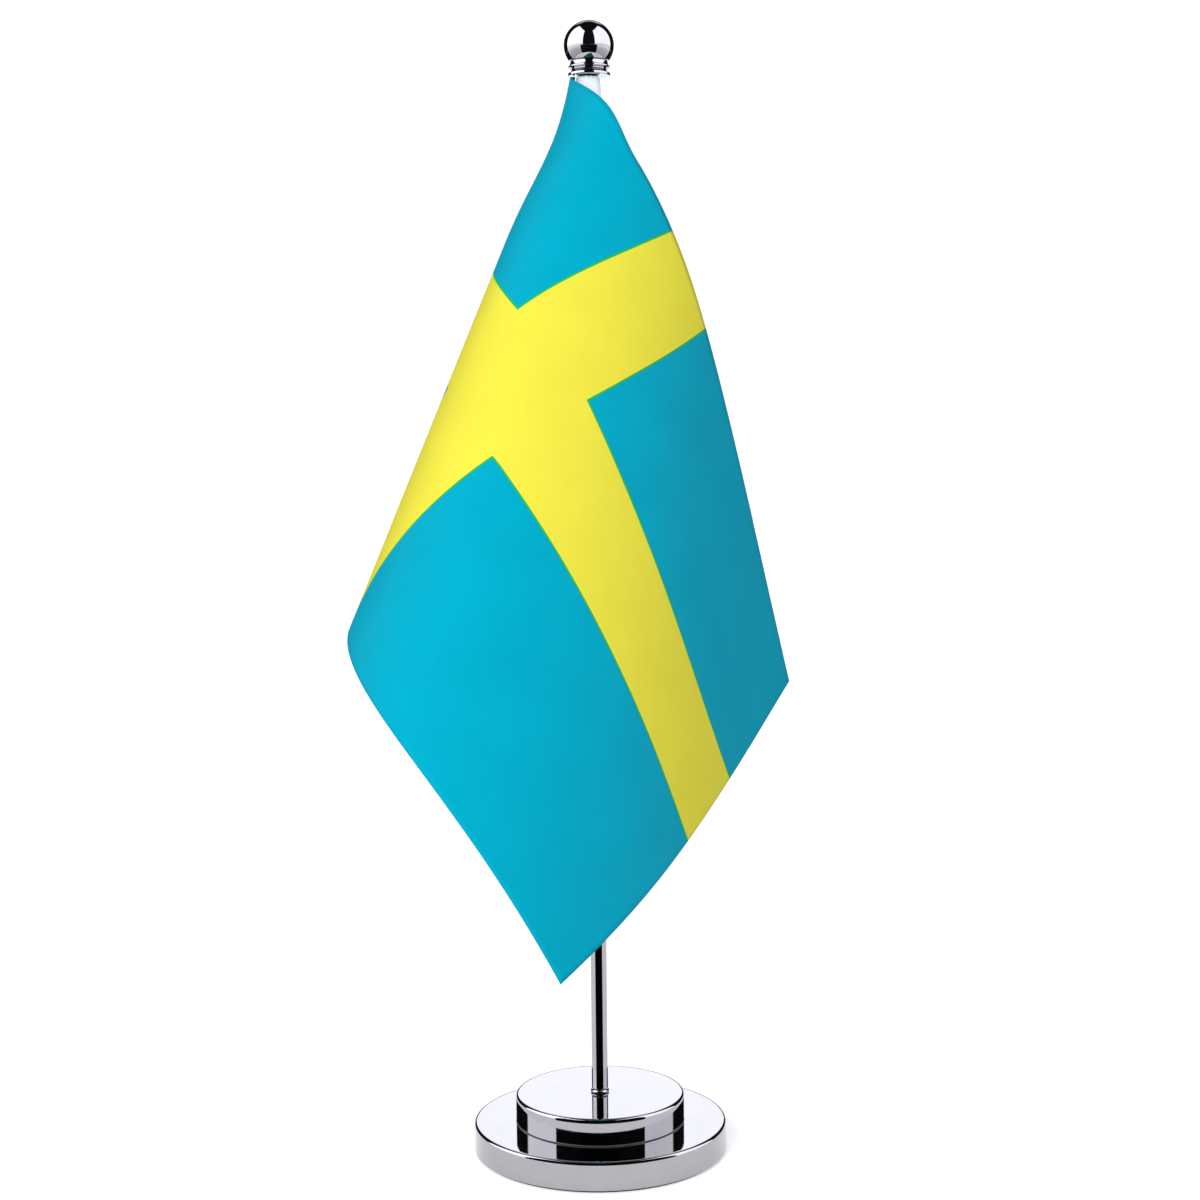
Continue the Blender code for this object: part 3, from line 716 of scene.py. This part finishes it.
def rolled(u, v):
    """Place in space of a flat point: u along the top edge, v down the hoist."""
    first, last = 0, len(folds) - 1
    while last - first > 1:
        middle = (first + last) // 2
        if fly_side(folds[middle], u, v) > 0:
            first = middle
        else:
            last = middle
    before, after = folds[first], folds[last]
    near, far = fly_side(before, u, v), fly_side(after, u, v)
    part = min(max(near / (near - far), 0.0), 1.0) if near != far else 0.0
    reach = before[1] + (after[1] - before[1]) * part
    return before[2].lerp(after[2], part) + math.hypot(u - reach, v) * before[3].lerp(after[3], part)


seam_u = 0.0
while rolled(seam_u, SHEET_HEIGHT).x > SEAM_X:
    seam_u += SEAM_STEP


def cloth_point(u, v):
    """The hanging sheet, eased into the seam and drawn round the sleeve at its top corner."""
    shift = Vector((SEAM_X, 0, FIELD_TOP - v)) - rolled(seam_u, v)
    place = rolled(u, v) + shift * (1 - smooth_step((u - seam_u) / SEAM_FADE))
    part = min(max((u - seam_u) / TOP_PULL_WIDTH, 0.0), 1.0)
    place.x += TOP_PULL * math.sin(math.pi * part) ** 2 * (1 - smooth_step(v / TOP_PULL_DEPTH))
    at_corner = 1 - smooth_step((u - seam_u - CORNER_FLAT) / CORNER_WIDTH)
    place.z += CORNER_RISE * at_corner * (1 - smooth_step(v / TOP_PULL_DEPTH))
    return place


# Printed polyester satin: smooth, with a low soft gloss, its ink slightly uneven.
# The floats are 0.12 mm apart, drawn at 0.9 mm so that they show.
printed_satin, tree, shader = start_material("printed_satin", {
    "Roughness": 0.5, "Specular IOR Level": 0.02, "Metallic": 0.08})
SHEET_IN_MM = 1000 * SHEET_LENGTH
flat = add_node(tree, "ShaderNodeSeparateXYZ", {0: add_node(tree, "ShaderNodeUVMap", uv_map="flat")})
across = add_node(tree, "ShaderNodeMath", {0: flat.outputs[0], 1: SHEET_IN_MM}, operation="MULTIPLY")
below = add_node(tree, "ShaderNodeMath", {0: flat.outputs[1], 1: SHEET_IN_MM}, operation="MULTIPLY")

# Places on the flat sheet in millimetres: along it from the hoist, or down it from the top
UPRIGHT_NEAR = 72.7
UPRIGHT_NEAR_LEAN = 0.12
UPRIGHT_FAR = 102.4
UPRIGHT_FAR_LEAN = 0.07
LEVEL_TOP = 52.3
LEVEL_FOOT = 82.4


def leaning(edge, lean):
    """Place along the sheet of a printed edge that leans back towards the hoist as it goes down."""
    return add_node(tree, "ShaderNodeMath", {0: below, 1: -lean, 2: edge}, operation="MULTIPLY_ADD")


def bowed(edge, middle, half_span, rise):
    """Place down the sheet of a printed edge that bows by a rise, and is straight half a span away."""
    part = add_node(tree, "ShaderNodeMath", {0: across, 1: middle}, operation="SUBTRACT")
    part = add_node(tree, "ShaderNodeMath", {0: part, 1: half_span}, operation="DIVIDE")
    part = add_node(tree, "ShaderNodeMath", {0: part, 1: part}, operation="MULTIPLY")
    bow = add_node(tree, "ShaderNodeMath", {0: 1.0, 1: part}, operation="SUBTRACT")
    bow = add_node(tree, "ShaderNodeMath", {0: bow, 1: 0.0}, operation="MAXIMUM")
    return add_node(tree, "ShaderNodeMath", {0: bow, 1: rise, 2: edge}, operation="MULTIPLY_ADD")


def between(value, first, second):
    """Distance outside the band between two printed edges, in millimetres, negative inside it."""
    short = add_node(tree, "ShaderNodeMath", {0: first, 1: value}, operation="SUBTRACT")
    past = add_node(tree, "ShaderNodeMath", {0: value, 1: second}, operation="SUBTRACT")
    return add_node(tree, "ShaderNodeMath", {0: short, 1: past}, operation="MAXIMUM")


upright = between(across, leaning(UPRIGHT_NEAR, UPRIGHT_NEAR_LEAN), leaning(UPRIGHT_FAR, UPRIGHT_FAR_LEAN))
level = between(below, bowed(LEVEL_TOP, middle=161.0, half_span=62.0, rise=4.5),
                bowed(LEVEL_FOOT, middle=170.0, half_span=70.0, rise=2.0))
outside = add_node(tree, "ShaderNodeMath", {0: upright, 1: level}, operation="MINIMUM")
from_edge = add_node(tree, "ShaderNodeMath", {0: outside}, operation="ABSOLUTE")
# The inks overlap by 0.3 mm to each side of an edge, which prints a thin green line
OVERLAP = 0.32
OVERLAP_CORE = 0.22
EDGE_BLEED = 0.06
ink = add_node(tree, "ShaderNodeMapRange", {"Value": outside, "From Min": -EDGE_BLEED,
                                            "From Max": EDGE_BLEED})
line = add_node(tree, "ShaderNodeMapRange", {"Value": from_edge, "From Min": OVERLAP,
                                             "From Max": OVERLAP_CORE})
INK_BLOTCHES = 0.06          # per millimetre, so they are about 17 mm across
place = add_node(tree, "ShaderNodeCombineXYZ", {0: across, 1: below})
blotch = add_node(tree, "ShaderNodeTexNoise", {"Vector": place, "Scale": INK_BLOTCHES, "Detail": 3.0})


def ink_tone(darker, lighter):
    """Printed colour that varies slightly over the cloth."""
    tone = add_node(tree, "ShaderNodeValToRGB", {0: blotch})
    tone.color_ramp.elements[0].color = linear(darker)
    tone.color_ramp.elements[1].color = linear(lighter)
    return tone


field = add_node(tree, "ShaderNodeMixRGB", {0: ink, 1: ink_tone("#B0A932", "#B8B136"),
                                            2: ink_tone("#007A8F", "#008398")})
print_colour = add_node(tree, "ShaderNodeMixRGB", {0: line, 1: field, 2: linear("#1B8A3C")})
tree.links.new(print_colour.outputs[0], shader.inputs["Base Color"])
FLOAT_LENGTH = 2.6
FLOAT_WIDTH = 0.9
FLOAT_GAP = 0.12
floats = add_node(tree, "ShaderNodeTexBrick", {"Vector": place, "Scale": 1.0, "Brick Width": FLOAT_LENGTH,
                                               "Row Height": FLOAT_WIDTH, "Mortar Size": FLOAT_GAP,
                                               "Mortar Smooth": 1.0})
bump = add_node(tree, "ShaderNodeBump", {"Height": floats.outputs["Fac"], "Strength": 0.12,
                                         "Distance": 0.0001})
tree.links.new(bump.outputs[0], shader.inputs["Normal"])

shape = bmesh.new()
flat_map = shape.loops.layers.uv.new("flat")
grid = []
for row in range(ROWS + 1):
    v = SHEET_HEIGHT * row / ROWS
    line = []
    for column in range(COLUMNS + 1):
        u = seam_u + (SHEET_LENGTH - seam_u) * column / COLUMNS
        line.append((shape.verts.new(cloth_point(u, v)), (u / SHEET_LENGTH, v / SHEET_LENGTH)))
    grid.append(line)
for upper, lower in zip(grid, grid[1:]):
    for i in range(COLUMNS):
        corners = (upper[i], upper[i + 1], lower[i + 1], lower[i])
        face = shape.faces.new([corner[0] for corner in corners])
        for loop, corner in zip(face.loops, corners):
            loop[flat_map].uv = corner[1]
flag = add_piece("satin_flag", shape, [printed_satin], 80)
thicken = flag.modifiers.new("cloth thickness", "SOLIDIFY")
thicken.thickness = SATIN
thicken.offset = 0
fit_piece(flag, "flag", "flag_field")


# ---------------------------------------------------------------------------
# Finial: a solid ball on a collar of two flared rings, both turned from brass
# and chromed, on a threaded stud that screws into the pole's top plug.
# ---------------------------------------------------------------------------

low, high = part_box("finial_collar")
base = low[2]
COLLAR_HEIGHT = high[2] - low[2]
BORE = 0.0014
BORE_DEPTH = 0.0043
LIP_DROP = 0.0001
LIP_RISE = 0.00005
FOOT_RADIUS = high[0]
RING_RADIUS = 0.0059
NECK_RADIUS = 0.0049
TOP_RADIUS = 0.0053
NECK_HEIGHT = 0.0019
FOOT_EDGE = 0.0007
RING_UNDER = 0.0005
RING_EDGE = 0.0008
FLARE_POWER = 1.6
FOOT_BREAK = 0.0002
FOOT_LIP_BREAK = 0.00012
RING_BREAK = 0.0001
RING_START = 0.0001
FINIAL_STEPS = 144


def flare(wide, low_z, narrow, high_z, steps=10):
    """Hollow curve from a wide lip up to a narrow top."""
    parts = [i / steps for i in range(1, steps + 1)]
    return [(narrow + (wide - narrow) * (1 - part) ** FLARE_POWER, low_z + (high_z - low_z) * part, 0)
            for part in parts]


neck = base + NECK_HEIGHT
outline = [(BORE, base, 0), (FOOT_RADIUS, base, FOOT_BREAK), (FOOT_RADIUS, base + FOOT_EDGE, FOOT_LIP_BREAK)]
outline += flare(FOOT_RADIUS - LIP_DROP, base + FOOT_EDGE + LIP_RISE, NECK_RADIUS, neck)
outline += [(NECK_RADIUS, neck + RING_START, 0), (RING_RADIUS, neck + RING_UNDER, RING_BREAK),
            (RING_RADIUS, neck + RING_EDGE, RING_BREAK)]
outline += flare(RING_RADIUS - LIP_DROP, neck + RING_EDGE + LIP_RISE, TOP_RADIUS, base + COLLAR_HEIGHT)
outline.append((BORE, base + COLLAR_HEIGHT, 0))
collar = add_piece("finial_rings", turned(outline, FINIAL_STEPS), [bright_chrome])
fit_piece(collar, "finial", "finial_collar")

low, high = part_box("finial_ball")
radius = high[0]
centre = high[2] - radius
foot_angle = math.asin((low[2] - centre) / radius)
BALL_ARCS = 64
HOLE_BREAK = 0.0001
outline = [(0, low[2] + BORE_DEPTH, 0), (BORE, low[2] + BORE_DEPTH, 0), (BORE, low[2], HOLE_BREAK)]
for i in range(BALL_ARCS):
    angle = foot_angle + (math.pi / 2 - foot_angle) * i / BALL_ARCS
    outline.append((radius * math.cos(angle), centre + radius * math.sin(angle), 0))
outline.append((0, high[2], 0))
ball = add_piece("finial_knob", turned(outline, FINIAL_STEPS), [bright_chrome])
fit_piece(ball, "finial", "finial_ball")

low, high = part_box("finial_stud")
point = SCREW_RADIUS - SCREW_POINT
rings = [ring_of(0, low[2], THREAD_STEPS), ring_of(point, low[2], THREAD_STEPS)]
rings += thread_rings(SCREW_RADIUS, low[2] + POINT_HEIGHT, high[2] - POINT_HEIGHT)
rings += [ring_of(point, high[2], THREAD_STEPS), ring_of(0, high[2], THREAD_STEPS)]
stud = add_piece("threaded_stud", skin(rings), [zinc_steel])
fit_piece(stud, "finial", "finial_stud")
